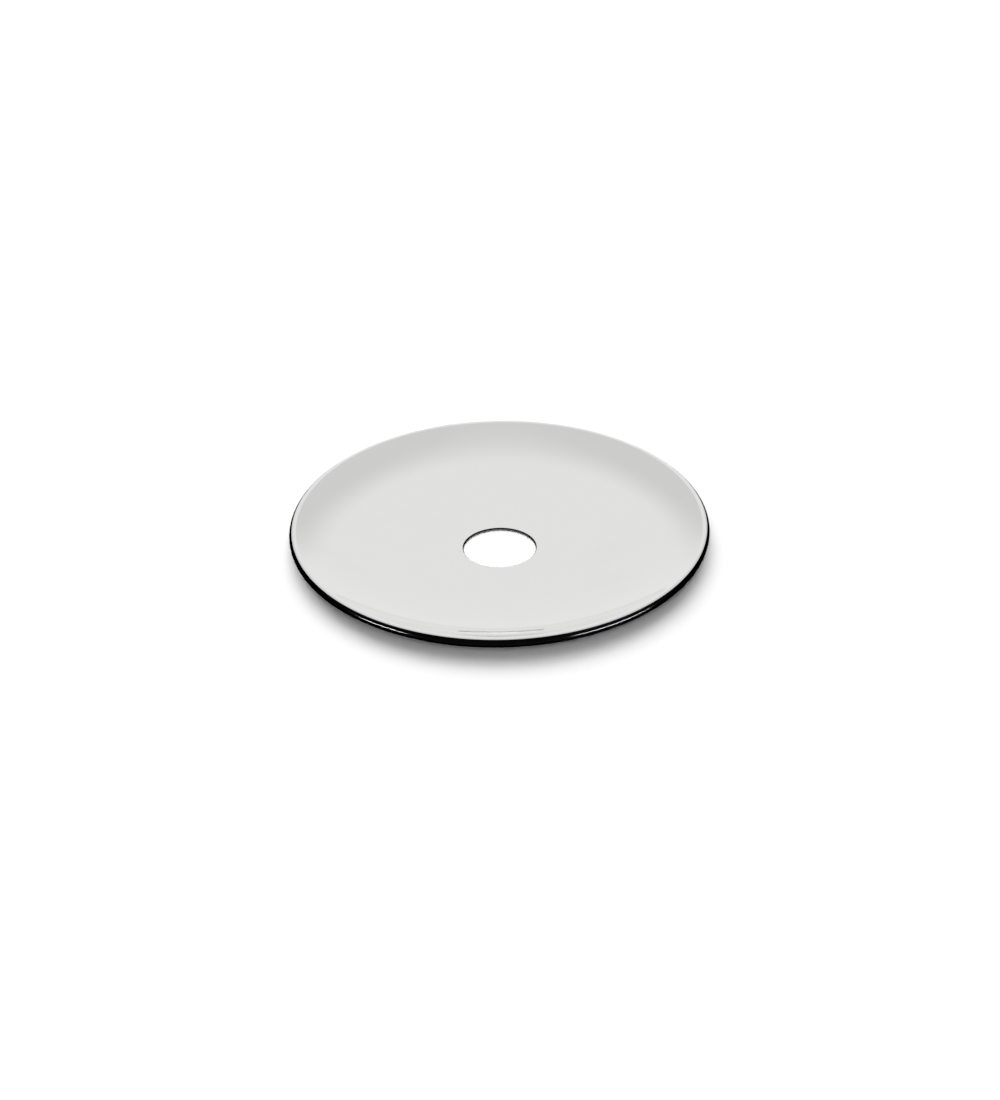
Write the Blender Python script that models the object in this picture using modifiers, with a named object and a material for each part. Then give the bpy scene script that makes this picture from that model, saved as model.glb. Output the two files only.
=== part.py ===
# Shallow round plate with a pierced centre and a wired edge, lying on its flat base.
# Metres, +Z up. The origin is the middle of the underside, on the axis of the plate.

import math

import bmesh
import bpy

COLLECTION = "paten_plate"

# Driving dimensions of the sheet; the upper edge of the hole is rounded, the lower edge only broken
OVERALL_RADIUS = 0.075
HOLE_RADIUS = 0.013
SHEET = 0.001
HOLE_ROUND = 0.0005
HOLE_CHAMFER = 0.00015

# The floor is flat round the hole, then rises on a wide arc and turns up into the lip
BASE_RADIUS = 0.019
FLOOR_RADIUS = 0.054
FLOOR_SLOPE = math.radians(11.22)
LIP_RADIUS = 0.071
LIP_SLOPE = math.radians(24.5)

# The lip rolls over a round crest into a bead that is curled outward and under
CREST_ROLL = 0.0019
BEAD_RADIUS = 0.0018
CURL_SWEEP = math.radians(268)

# The wire inside the bead, clear of the sheet all round
CLEARANCE = 0.0003
WIRE_RADIUS = BEAD_RADIUS - SHEET - CLEARANCE

# Facets
TURN_STEPS = 64
WIRE_SIDES = 8
ROUND_STEPS = 4
FLOOR_STEPS = 5
LIP_STEPS = 5
CREST_STEPS = 2
CURL_STEPS = 12
MERGE_DISTANCE = 0.00001

# Finishes: colour, metallic and roughness
PLATE_FINISH = ((0.80, 0.80, 0.79), 1.0, 0.08)
WIRE_FINISH = ((0.55, 0.55, 0.54), 1.0, 0.35)


def clear_scene():
    for item in list(bpy.data.objects):
        bpy.data.objects.remove(item)


def make_material(name, finish):
    colour, metallic, roughness = finish
    material = bpy.data.materials.new(name)
    material.use_nodes = True
    shader = material.node_tree.nodes["Principled BSDF"]
    shader.inputs["Base Color"].default_value = (*colour, 1.0)
    shader.inputs["Metallic"].default_value = metallic
    shader.inputs["Roughness"].default_value = roughness
    return material


def arc(centre, radius, start, end, steps):
    # Points along an arc, angles measured from +X towards +Z
    points = []
    for step in range(steps + 1):
        angle = start + (end - start) * step / steps
        points.append((centre[0] + radius * math.cos(angle), centre[1] + radius * math.sin(angle)))
    return points


def plate_layout():
    # Centres and radii of the arcs that the upper face of the sheet follows
    down = -math.pi / 2
    floor_arc = (FLOOR_RADIUS - BASE_RADIUS) / math.sin(FLOOR_SLOPE)
    floor_centre = (BASE_RADIUS, SHEET + floor_arc)
    lip_arc = (LIP_RADIUS - FLOOR_RADIUS) / (math.sin(LIP_SLOPE) - math.sin(FLOOR_SLOPE))
    floor_end = arc(floor_centre, floor_arc, down, down + FLOOR_SLOPE, 1)[-1]
    lip_centre = (floor_end[0] - lip_arc * math.sin(FLOOR_SLOPE), floor_end[1] + lip_arc * math.cos(FLOOR_SLOPE))
    lip_end = arc(lip_centre, lip_arc, down + FLOOR_SLOPE, down + LIP_SLOPE, 1)[-1]
    bead_x = OVERALL_RADIUS - BEAD_RADIUS
    straight_x = bead_x - CREST_ROLL * math.sin(LIP_SLOPE)
    straight_z = lip_end[1] + (straight_x - lip_end[0]) * math.tan(LIP_SLOPE)
    roll_centre = (bead_x, straight_z - CREST_ROLL * math.cos(LIP_SLOPE))
    bead_centre = (bead_x, roll_centre[1] + CREST_ROLL - BEAD_RADIUS)
    return floor_centre, floor_arc, lip_centre, lip_arc, roll_centre, bead_centre


def sheet_face(offset):
    # One face of the sheet from the base to the end of the curl; offset is its depth below the upper face
    floor_centre, floor_arc, lip_centre, lip_arc, roll_centre, bead_centre = plate_layout()
    up = math.pi / 2
    down = -up
    points = arc(floor_centre, floor_arc + offset, down, down + FLOOR_SLOPE, FLOOR_STEPS)
    points += arc(lip_centre, lip_arc + offset, down + FLOOR_SLOPE, down + LIP_SLOPE, LIP_STEPS)[1:]
    points += arc(roll_centre, CREST_ROLL - offset, up + LIP_SLOPE, up, CREST_STEPS)
    points += arc(bead_centre, BEAD_RADIUS - offset, up, up - CURL_SWEEP, CURL_STEPS)[1:]
    return points


def dish_profile():
    # Closed section: out along the upper face, round the bead, back along the lower face and up the hole
    round_centre = (HOLE_RADIUS + HOLE_ROUND, SHEET - HOLE_ROUND)
    upper_edge = arc(round_centre, HOLE_ROUND, math.pi, math.pi / 2, ROUND_STEPS)
    lower_edge = [(HOLE_RADIUS + HOLE_CHAMFER, 0.0), (HOLE_RADIUS, HOLE_CHAMFER)]
    return upper_edge + sheet_face(0.0) + sheet_face(SHEET)[::-1] + lower_edge


def turned_object(name, profile):
    mesh = bpy.data.meshes.new(name)
    section = bmesh.new()
    corners = [section.verts.new((x, 0.0, z)) for x, z in profile]
    for index, corner in enumerate(corners):
        section.edges.new((corner, corners[(index + 1) % len(corners)]))
    section.to_mesh(mesh)
    section.free()
    item = bpy.data.objects.new(name, mesh)
    turn = item.modifiers.new("turn", "SCREW")
    turn.axis = "Z"
    turn.angle = 2 * math.pi
    turn.steps = TURN_STEPS
    turn.render_steps = TURN_STEPS
    turn.use_merge_vertices = True
    turn.merge_threshold = MERGE_DISTANCE
    turn.use_smooth_shade = True
    return item


def make_dish():
    dish = turned_object("dish", dish_profile())
    dish.data.materials.append(make_material("plate_metal", PLATE_FINISH))
    return dish


def make_rim_wire():
    bead_centre = plate_layout()[-1]
    bpy.ops.mesh.primitive_torus_add(
        major_radius=bead_centre[0],
        minor_radius=WIRE_RADIUS,
        major_segments=TURN_STEPS,
        minor_segments=WIRE_SIDES,
        location=(0.0, 0.0, bead_centre[1]),
    )
    wire = bpy.context.object
    wire.name = "rim_wire"
    wire.data.name = "rim_wire"
    wire.data.shade_smooth()
    wire.data.materials.append(make_material("wire_steel", WIRE_FINISH))
    return wire


def main():
    clear_scene()
    parts = bpy.data.collections.new(COLLECTION)
    bpy.context.scene.collection.children.link(parts)
    for item in (make_dish(), make_rim_wire()):
        for holder in list(item.users_collection):
            holder.objects.unlink(item)
        parts.objects.link(item)


main()
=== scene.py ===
import math

import bpy
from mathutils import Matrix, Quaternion, Vector


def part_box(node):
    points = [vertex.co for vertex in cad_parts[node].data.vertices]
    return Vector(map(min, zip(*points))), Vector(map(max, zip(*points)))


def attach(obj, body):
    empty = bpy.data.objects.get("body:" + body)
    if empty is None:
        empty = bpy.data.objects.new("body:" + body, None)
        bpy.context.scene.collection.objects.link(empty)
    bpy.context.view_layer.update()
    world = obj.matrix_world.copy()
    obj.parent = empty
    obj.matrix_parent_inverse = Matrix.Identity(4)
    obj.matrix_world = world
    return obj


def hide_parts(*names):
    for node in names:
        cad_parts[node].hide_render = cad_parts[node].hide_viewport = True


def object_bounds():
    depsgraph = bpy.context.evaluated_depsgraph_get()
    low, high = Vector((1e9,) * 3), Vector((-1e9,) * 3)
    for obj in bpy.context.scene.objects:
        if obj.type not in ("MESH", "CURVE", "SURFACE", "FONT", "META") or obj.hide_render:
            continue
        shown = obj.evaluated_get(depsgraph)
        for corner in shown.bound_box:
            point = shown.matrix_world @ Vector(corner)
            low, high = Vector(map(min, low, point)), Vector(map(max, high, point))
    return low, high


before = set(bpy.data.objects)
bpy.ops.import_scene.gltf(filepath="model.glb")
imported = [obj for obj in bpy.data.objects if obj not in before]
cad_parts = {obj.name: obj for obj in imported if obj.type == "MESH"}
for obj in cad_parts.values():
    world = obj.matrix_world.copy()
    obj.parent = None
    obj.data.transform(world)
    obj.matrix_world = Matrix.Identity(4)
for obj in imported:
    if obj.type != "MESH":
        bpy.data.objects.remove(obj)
cadLow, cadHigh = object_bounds()
scene = bpy.context.scene
scene.view_settings.view_transform = "Standard"
print("frame:", ", ".join(sorted(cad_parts)))


class Flow:
    # one output in a node tree; sums written on it add Math nodes to that tree
    def __init__(self, tree, output=None):
        self.tree = tree
        self.output = output

    def node(self, kind, settings=None, values=None, out=0):
        made = self.tree.nodes.new(kind)
        for name, setting in (settings or {}).items():
            setattr(made, name, setting)
        self.feed(made, values or {})
        return Flow(self.tree, made.outputs[out] if made.outputs else None)

    def feed(self, made, values):
        for name, value in values.items():
            if isinstance(value, Flow):
                self.tree.links.new(value.output, made.inputs[name])
            else:
                made.inputs[name].default_value = value

    def sums(self, operation, *values):
        return self.node("ShaderNodeMath", {"operation": operation}, dict(enumerate(values)))

    def __add__(self, other):
        return self.sums("ADD", self, other)

    def __sub__(self, other):
        return self.sums("SUBTRACT", self, other)

    def __rsub__(self, other):
        return self.sums("SUBTRACT", other, self)

    def __mul__(self, other):
        return self.sums("MULTIPLY", self, other)

    def __truediv__(self, other):
        return self.sums("DIVIDE", self, other)

    def __rtruediv__(self, other):
        return self.sums("DIVIDE", other, self)

    def __lt__(self, other):
        return self.sums("LESS_THAN", self, other)

    def __gt__(self, other):
        return self.sums("GREATER_THAN", self, other)

    __radd__ = __add__
    __rmul__ = __mul__


def sine(angle):
    return angle.sums("SINE", angle) if isinstance(angle, Flow) else math.sin(angle)


def cosine(angle):
    return angle.sums("COSINE", angle) if isinstance(angle, Flow) else math.cos(angle)


def newFinish(name):
    # a material, a start for its nodes and its shader
    material = bpy.data.materials.new(name)
    material.use_nodes = True
    tree = material.node_tree
    return material, Flow(tree), tree.nodes["Principled BSDF"]


def aroundAxis(start):
    # distance from the plate's axis, and the direction round it as a vector, which has no seam
    place = start.node("ShaderNodeTexCoord", out="Object")
    flat = place.node("ShaderNodeVectorMath", {"operation": "MULTIPLY"}, {0: place, 1: (1.0, 1.0, 0.0)})
    radius = flat.node("ShaderNodeVectorMath", {"operation": "LENGTH"}, {0: flat}, "Value")
    bearing = flat.node("ShaderNodeVectorMath", {"operation": "NORMALIZE"}, {0: flat})
    return place, radius, bearing


def ringLines(radius, bearing, perMetre, drift, detail=3.0):
    # fine lines that run round the axis and fade in and out on the way
    across = radius.node("ShaderNodeCombineXYZ", None, {"Z": radius * perMetre})
    place = bearing.node("ShaderNodeVectorMath", {"operation": "MULTIPLY_ADD"},
                         {0: bearing, 1: (drift, drift, drift), 2: across})
    return place.node("ShaderNodeTexNoise", None, {"Vector": place, "Scale": 1.0, "Detail": detail})


def patches(place, scale, ends, detail=3.0):
    # soft blotches, nothing below the first end and full above the second
    noise = place.node("ShaderNodeTexNoise", None, {"Vector": place, "Scale": scale, "Detail": detail})
    return noise.node("ShaderNodeMapRange", {"interpolation_type": "SMOOTHSTEP"},
                      {"Value": noise, "From Min": ends[0], "From Max": ends[1]})


def blend(amount, first, second):
    colours = {0: amount, 6: (*first, 1.0), 7: (*second, 1.0)}
    return amount.node("ShaderNodeMix", {"data_type": "RGBA"}, colours, 2)


silver = {
    "colour": (0.965, 0.965, 0.957),
    "smudgeColour": (0.952, 0.952, 0.944),
    "roughness": 0.06,
    "lineRoughness": 0.03,
    "smudgeRoughness": 0.05,
    "linesPerMetre": 2400.0,
    "lineDrift": 3.0,                          # how fast a line fades on its way round
    "lineDepth": 0.4e-7,
    "smudgeScale": 38.0,
    "smudgeRange": (0.52, 0.74),
}


def makeSilver():
    material, start, shader = newFinish("silverPolish")
    place, radius, bearing = aroundAxis(start)
    lines = ringLines(radius, bearing, silver["linesPerMetre"], silver["lineDrift"])
    smudges = patches(place, silver["smudgeScale"], silver["smudgeRange"])
    bump = lines.node("ShaderNodeBump", None, {"Height": lines, "Distance": silver["lineDepth"]})
    start.feed(shader, {
        "Base Color": blend(smudges, silver["colour"], silver["smudgeColour"]),
        "Metallic": 1.0,
        "Roughness": (silver["roughness"] + lines * silver["lineRoughness"]
                      + smudges * silver["smudgeRoughness"]),
        "Normal": bump,
    })
    return material


# black for the outside of the rim and the hole's rounded edge: painted reflection, standing in for the dark
# surroundings that polished metal there reflects
black = {
    "colour": (0.0028, 0.0028, 0.0030),
    "rubbedColour": (0.0050, 0.0050, 0.0052),
    "edgeTint": (0.0, 0.0, 0.0, 1.0),          # keeps the painted black reflection black where it is seen edge on
    "roughness": 0.07,
    "lineRoughness": 0.05,
    "patchRoughness": 0.08,
    "linesPerMetre": 1900.0,
    "lineDrift": 5.0,
    "lineDepth": 4.0e-7,
    "patchScale": 60.0,
    "patchRange": (0.50, 0.78),
}


def makeBlack():
    material, start, shader = newFinish("paintedDarkReflection")
    place, radius, bearing = aroundAxis(start)
    lines = ringLines(radius, bearing, black["linesPerMetre"], black["lineDrift"])
    rubbed = patches(place, black["patchScale"], black["patchRange"])
    bump = lines.node("ShaderNodeBump", None, {"Height": lines, "Distance": black["lineDepth"]})
    start.feed(shader, {
        "Base Color": blend(rubbed, black["colour"], black["rubbedColour"]),
        "Metallic": 1.0,
        "Roughness": (black["roughness"] + lines * black["lineRoughness"]
                      + rubbed * black["patchRoughness"]),
        "Specular Tint": black["edgeTint"],
        "Normal": bump,
    })
    return material


# dark metal for the underside and the wall of the hole; on the wall its darkness is painted shade, standing
# in for the shadowed floor that polished metal there reflects
satin = {
    "colour": (0.018, 0.018, 0.019),
    "bareAndWallShadeColour": (0.15, 0.15, 0.15),          # lighter at the hole and darker from there to the rim; on the wall of the hole this colour is painted shade
    "bareRadii": (0.0131, 0.056),
    "edgeTint": (0.0, 0.0, 0.0, 1.0),
    "roughness": 0.30,
    "lineRoughness": 0.20,
    "linesPerMetre": 5000.0,
    "lineDrift": 6.0,
    "lineDepth": 1.0e-6,
    "leastBare": 0.7,
    "lineBare": 0.5,
}


def makeSatin():
    material, start, shader = newFinish("darkSatinAndWallShade")
    place, radius, bearing = aroundAxis(start)
    up = start.node("ShaderNodeSeparateXYZ", None, {0: place}, "Z")
    lines = ringLines(radius + up, bearing, satin["linesPerMetre"], satin["lineDrift"])
    bump = lines.node("ShaderNodeBump", None, {"Height": lines, "Distance": satin["lineDepth"]})
    inner, outer = satin["bareRadii"]
    # towards the hole the second colour, which on the wall of the hole is painted shade
    bareAndWallShade = radius.node("ShaderNodeMapRange", None, {"Value": radius, "From Min": outer, "From Max": inner})
    share = bareAndWallShade * (satin["leastBare"] + lines * satin["lineBare"])
    start.feed(shader, {
        "Base Color": blend(share, satin["colour"], satin["bareAndWallShadeColour"]),
        "Metallic": 1.0,
        "Roughness": satin["roughness"] + lines * satin["lineRoughness"],
        "Specular Tint": satin["edgeTint"],
        "Normal": bump,
    })
    return material


steel = {
    "colour": (0.56, 0.56, 0.55),
    "drawnColour": (0.42, 0.42, 0.41),
    "roughness": 0.28,
    "lineRoughness": 0.25,
    "linesPerMetre": 9000.0,
    "lineDrift": 9.0,
    "lineDepth": 2.0e-6,
}


def makeSteel():
    material, start, shader = newFinish("drawnSteel")
    radius, bearing = aroundAxis(start)[1:]
    lines = ringLines(radius, bearing, steel["linesPerMetre"], steel["lineDrift"])
    bump = lines.node("ShaderNodeBump", None, {"Height": lines, "Distance": steel["lineDepth"]})
    start.feed(shader, {
        "Base Color": blend(lines, steel["colour"], steel["drawnColour"]),
        "Metallic": 1.0,
        "Roughness": steel["roughness"] + lines * steel["lineRoughness"],
        "Normal": bump,
    })
    return material


def newMaker(name, sizes):
    # a Geometry Nodes tree with one named input for each size
    tree = bpy.data.node_groups.new(name, "GeometryNodeTree")
    tree.interface.new_socket(name="Geometry", in_out="OUTPUT", socket_type="NodeSocketGeometry")
    for label in sizes:
        tree.interface.new_socket(name=label, in_out="INPUT", socket_type="NodeSocketFloat")
    given = tree.nodes.new("NodeGroupInput")
    return Flow(tree), {label: Flow(tree, given.outputs[label]) for label in sizes}


def finishMaker(shape, finishes):
    # smooth, then one material for all and others for the faces that a field picks
    shape = shape.node("GeometryNodeSetShadeSmooth", None, {0: shape})
    shape = shape.node("GeometryNodeRealizeInstances", None, {0: shape})
    for material, picked in finishes:
        choice = {"Geometry": shape, "Selection": picked, "Material": material}
        shape = shape.node("GeometryNodeSetMaterial", None, choice)
    shape.node("NodeGroupOutput", None, {0: shape})


def plainPiece(name, tree, sizes):
    # runs the tree once and keeps its result as an ordinary mesh
    piece = bpy.data.objects.new(name, bpy.data.meshes.new(name + "Empty"))
    scene.collection.objects.link(piece)
    maker = piece.modifiers.new("maker", "NODES")
    maker.node_group = tree
    for socket in tree.interface.items_tree:
        if socket.in_out == "INPUT":
            maker[socket.identifier] = sizes[socket.name]
    evaluated = piece.evaluated_get(bpy.context.evaluated_depsgraph_get())
    mesh = bpy.data.meshes.new_from_object(evaluated)
    piece.modifiers.remove(maker)
    empty = piece.data
    piece.data = mesh
    mesh.name = name
    bpy.data.meshes.remove(empty)
    for slot in reversed(range(len(mesh.materials))):
        if mesh.materials[slot] is None:
            mesh.materials.pop(index=slot)
    print(name + ":", len(mesh.polygons), "faces,", ", ".join(m.name for m in mesh.materials))
    return piece


dishSizes = {                                  # metres and radians
    "Overall Radius": cadHigh.x,
    "Hole Radius": 0.0130,
    "Hole Edge": 0.0005,                       # the hole's upper edge is rounded off
    "Hole Break": 0.00015,                     # and its lower edge only broken
    "Sheet": 0.001,
    "Base Radius": 0.019,                      # the floor is flat out to here
    "Floor Radius": 0.054,
    "Floor Slope": math.radians(11.22),
    "Lip Radius": 0.071,
    "Lip Slope": math.radians(24.5),
    "Crest Roll": 0.0019,
    "Bead Radius": 0.0018,
    "Curl Sweep": math.radians(268),
    "Silver Edge": math.radians(30),           # how far the silver runs over both edges; past it the black is painted reflection
}
dishTurns = 320
mergeDistance = 2.0e-6


def dishChain(size):
    # the section as straights (length) and bends (turn, radius), each with its number of steps
    edge, broken, sheet, bead = size["Hole Edge"], size["Hole Break"], size["Sheet"], size["Bead Radius"]
    floorSlope, lipSlope, sweep = size["Floor Slope"], size["Lip Slope"], size["Curl Sweep"]
    silverEdge, roll = size["Silver Edge"], size["Crest Roll"]
    foot = size["Base Radius"] - size["Hole Radius"]
    floorArc = (size["Floor Radius"] - size["Base Radius"]) / sine(floorSlope)
    lipArc = (size["Lip Radius"] - size["Floor Radius"]) / (sine(lipSlope) - sine(floorSlope))
    crest = size["Overall Radius"] - bead
    rise = (crest - roll * sine(lipSlope) - size["Lip Radius"]) / cosine(lipSlope)
    quarter = math.pi / 2
    return [
        ("wall of the hole", sheet - edge - broken, None, 3),
        ("black of the hole's edge", silverEdge - quarter, edge * -1, 8),
        ("silver of the hole's edge", silverEdge * -1, edge * -1, 5),
        ("land", foot - edge, None, 6),
        ("floor", floorSlope, floorArc, 40),
        ("lip", lipSlope - floorSlope, lipArc, 20),
        ("rise", rise, None, 4),
        ("crest", lipSlope * -1, roll * -1, 16),
        ("silver of the bead", silverEdge * -1, bead * -1, 8),
        ("black of the bead", silverEdge - sweep, bead * -1, 40),
        ("cut edge of the sheet", -2 * quarter, sheet / -2, 10),
        ("inside of the curl", sweep, bead - sheet, 24),
        ("under the crest", lipSlope, roll - sheet, 8),
        ("under the rise", rise, None, 3),
        ("under the lip", floorSlope - lipSlope, (lipArc + sheet) * -1, 12),
        ("under the floor", floorSlope * -1, (floorArc + sheet) * -1, 24),
        ("base", foot - broken, None, 5),
        ("lower edge of the hole", -quarter, broken * -1, 6),
    ]


def makeDish(silverPolish, paintedDarkReflection, darkSatinAndWallShade):
    start, size = newMaker("turnedDish", dishSizes)
    chain = dishChain(size)
    steps = sum(count for label, amount, radius, count in chain)
    grid = start.node("GeometryNodeMeshGrid", None, {
        "Size X": steps, "Size Y": 2 * math.pi, "Vertices X": steps + 1, "Vertices Y": dishTurns + 1})
    spot = start.node("ShaderNodeSeparateXYZ", None, {0: start.node("GeometryNodeInputPosition")})
    along = spot + steps / 2
    turn = Flow(start.tree, spot.output.node.outputs["Y"]) + math.pi
    kept = {"data_type": "FLOAT", "domain": "FACE"}
    shape = grid.node("GeometryNodeStoreNamedAttribute", kept,
                      {"Geometry": grid, "Name": "sectionStep", "Value": along})

    radius, height, heading = size["Hole Radius"], size["Hole Break"], math.pi / 2
    done = 0
    marks = {}
    for label, amount, bend, count in chain:
        marks[label] = done
        part = along.node("ShaderNodeMapRange", None,
                          {"Value": along, "From Min": done, "From Max": done + count})
        if bend is None:
            radius = radius + part * amount * cosine(heading)
            height = height + part * amount * sine(heading)
        else:
            bearing = part * amount + heading
            radius = radius + (sine(bearing) - sine(heading)) * bend
            height = height + (cosine(heading) - cosine(bearing)) * bend
            heading = amount + heading
        done += count

    place = radius.node("ShaderNodeCombineXYZ", None, {
        "X": radius * cosine(turn), "Y": radius * sine(turn), "Z": height})
    shape = shape.node("GeometryNodeSetPosition", None, {"Geometry": shape, "Position": place})
    shape = shape.node("GeometryNodeMergeByDistance", None, {"Geometry": shape, "Distance": mergeDistance})
    section = shape.node("GeometryNodeInputNamedAttribute", {"data_type": "FLOAT"}, {"Name": "sectionStep"})
    # the black faces, painted reflection: the outside of the rim and the hole's rounded edge
    outside = (section > marks["black of the bead"]) + (section < marks["silver of the hole's edge"])
    # the dark faces: the underside, and the wall of the hole, where the dark is painted shade
    bareAndWallShade = (section > marks["cut edge of the sheet"]) + (section < marks["black of the hole's edge"])
    finishMaker(shape, [(silverPolish, True), (paintedDarkReflection, outside), (darkSatinAndWallShade, bareAndWallShade)])
    return plainPiece("dish_metal", start.tree, dishSizes)


wireSizes = {
    "Ring Radius": dishSizes["Overall Radius"] - dishSizes["Bead Radius"],
    "Wire Radius": 0.0005,
    "Height": (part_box("rim_wire")[0].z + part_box("rim_wire")[1].z) / 2,
}
wireTurns = 320
wireSides = 20


def makeWire(drawnSteel):
    start, size = newMaker("wireRing", wireSizes)
    circle = "GeometryNodeCurvePrimitiveCircle"
    ring = start.node(circle, None, {"Resolution": wireTurns, "Radius": size["Ring Radius"]})
    side = start.node(circle, None, {"Resolution": wireSides, "Radius": size["Wire Radius"]})
    shape = ring.node("GeometryNodeCurveToMesh", None, {"Curve": ring, "Profile Curve": side})
    lift = start.node("ShaderNodeCombineXYZ", None, {"Z": size["Height"]})
    shape = shape.node("GeometryNodeSetPosition", None, {"Geometry": shape, "Offset": lift})
    finishMaker(shape, [(drawnSteel, True)])
    return plainPiece("rim_wire_ring", start.tree, wireSizes)


dish = makeDish(makeSilver(), makeBlack(), makeSatin())
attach(dish, "root")
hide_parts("dish")

wire = makeWire(makeSteel())
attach(wire, "root")
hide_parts("rim_wire")


floorSizes = {
    "half": 4.0,
    "drop": 0.0003,                            # clear of the base, so the two faces don't share a plane
    "colour": (1.0, 1.0, 1.0),
}


def makeFloor():
    half, drop = floorSizes["half"], floorSizes["drop"]
    corners = [(-half, -half, -drop), (half, -half, -drop), (half, half, -drop), (-half, half, -drop)]
    mesh = bpy.data.meshes.new("floor")
    mesh.from_pydata(corners, [], [(0, 1, 2, 3)])
    floor = bpy.data.objects.new("floor", mesh)
    scene.collection.objects.link(floor)
    material, start, shader = newFinish("paleFloor")
    tree = start.tree
    tree.nodes.remove(shader)
    paper = start.node("ShaderNodeBsdfDiffuse", None, {"Color": (*floorSizes["colour"], 1.0)})
    clear = start.node("ShaderNodeBsdfTransparent")
    below = start.node("ShaderNodeNewGeometry", out="Backfacing")      # the view from below goes through
    surface = start.node("ShaderNodeMixShader", None, {0: below, 1: paper, 2: clear})
    start.feed(tree.nodes["Material Output"], {"Surface": surface})
    mesh.materials.append(material)


makeFloor()
print("floor laid")

studio = {
    "panel": 0.776,                            # what the metal sees: pale panels on four sides
    "surround": 0.628,                         # the dimmer room between and above them
    "horizon": 0.03,                           # a little more light low down, up to a height
    "horizonTop": 0.4,
    "panelHalf": 0.31,                         # half width of a panel, as the sine of an angle
    "panelStart": 0.45,                        # heights where a panel begins to end, and ends
    "panelTop": 0.90,
    "panelSoftness": 0.27,
    "rowLevel": 1.06,                          # light of the overhead row on the floor
    "rowLamps": 5,
    "rowTilts": (-54.0, 32.0),                 # degrees from straight above, front and back end
    "rowAngles": (13.0, 86.0),                 # how wide a lamp of the row looks there
    "rowLeans": (0.0, -7.4),                   # degrees, leftwards below zero
    "stripGlow": 2900.0,                       # two low lamps that only the shiny edge shows
    "stripWidths": (0.246, 0.40),
    "stripTall": 0.0105,                       # lower than the rim, so the dish itself shows neither
    "stripBearings": (-58.0, 54.0),            # degrees from the front, left and right
    "stripDistance": 0.5,
}


def makeWorld():
    world = bpy.data.worlds.new("studio")
    world.use_nodes = True
    scene.world = world
    tree = world.node_tree
    start = Flow(tree)
    spot = start.node("ShaderNodeSeparateXYZ", None, {0: start.node("ShaderNodeTexCoord", out="Generated")})
    axes = spot.output.node.outputs
    across, along, up = (Flow(tree, axes[axis]) for axis in "XYZ")
    aside = up.sums("MINIMUM", up.sums("ABSOLUTE", across), up.sums("ABSOLUTE", along))
    aside = aside / studio["panelHalf"]
    over = up.sums("MAXIMUM", up - studio["panelStart"], 0.0) / (studio["panelTop"] - studio["panelStart"])
    reach = up.sums("SQRT", aside * aside + over * over)
    soft = studio["panelSoftness"]
    seen = up.node("ShaderNodeMapRange", {"interpolation_type": "SMOOTHSTEP"}, {
        "Value": reach, "From Min": 1 - soft, "From Max": 1 + soft,
        "To Min": studio["panel"], "To Max": studio["surround"]})
    low = up.node("ShaderNodeMapRange", None, {
        "Value": up, "From Min": 0.0, "From Max": studio["horizonTop"],
        "To Min": studio["horizon"], "To Max": 0.0})
    shiny = start.node("ShaderNodeLightPath", out="Is Glossy Ray")
    rays = shiny.output.node.outputs
    plain = up.sums("MAXIMUM", Flow(tree, rays["Is Camera Ray"]), Flow(tree, rays["Is Transmission Ray"]))
    level = plain + shiny * (seen + low)
    start.feed(tree.nodes["Background"], {"Color": level, "Strength": 1.0})


def between(ends, share):
    return ends[0] + (ends[1] - ends[0]) * share


def addLamp(name, kind, energy, place, target, **settings):
    lamp = bpy.data.lights.new(name, kind)
    lamp.energy = energy
    for setting, value in settings.items():
        setattr(lamp, setting, value)
    holder = bpy.data.objects.new(name, lamp)
    holder.location = place
    holder.rotation_mode = "QUATERNION"
    holder.rotation_quaternion = (Vector(target) - Vector(place)).to_track_quat("-Z", "Y")
    scene.collection.objects.link(holder)
    return holder


def makeLamps():
    count = studio["rowLamps"]
    for index in range(count):
        share = index / (count - 1)
        width = between(studio["rowAngles"], share)
        lean = math.radians(between(studio["rowLeans"], share))
        tilt = math.radians(between(studio["rowTilts"], share))
        place = Vector((math.tan(lean), math.tan(tilt), 1.0))
        energy = math.pi * studio["rowLevel"] / count * place.length
        lamp = addLamp("row" + str(index), "SUN", energy, place, (0.0, 0.0, 0.0),
                       angle=math.radians(width))
        lamp.visible_glossy = False
    away, tall = studio["stripDistance"], studio["stripTall"]
    for side, degrees, width in zip(("Left", "Right"), studio["stripBearings"], studio["stripWidths"]):
        angle = math.radians(degrees)
        place = (away * math.sin(angle), -away * math.cos(angle), tall / 2)
        power = studio["stripGlow"] * math.pi * (math.pi / 4 * width * tall)
        strip = addLamp("strip" + side, "AREA", power, place, (0.0, 0.0, tall / 2),
                        shape="ELLIPSE", size=width, size_y=tall)
        strip.visible_diffuse = False
        strip.visible_camera = False


makeWorld()
makeLamps()
print("studio lit")

view = {
    "elevation": math.radians(31.79),
    "distance": 1.2,
    "rimHeight": 0.009076,
    "aim": (0.0001, -0.00415, 0.00238),
    "roll": math.radians(-1.01),
    "lens": 110.0,
}


def makeCamera():
    camera = bpy.data.objects.new("camera", bpy.data.cameras.new("camera"))
    away, tilt = view["distance"], view["elevation"]
    camera.location = (0.0, -away * math.cos(tilt), view["rimHeight"] + away * math.sin(tilt))
    camera.rotation_mode = "QUATERNION"
    facing = (Vector(view["aim"]) - camera.location).to_track_quat("-Z", "Y")
    camera.rotation_quaternion = facing @ Quaternion((0.0, 0.0, 1.0), view["roll"])
    camera.data.lens = view["lens"]
    scene.collection.objects.link(camera)
    scene.camera = camera


makeCamera()
print("camera set")
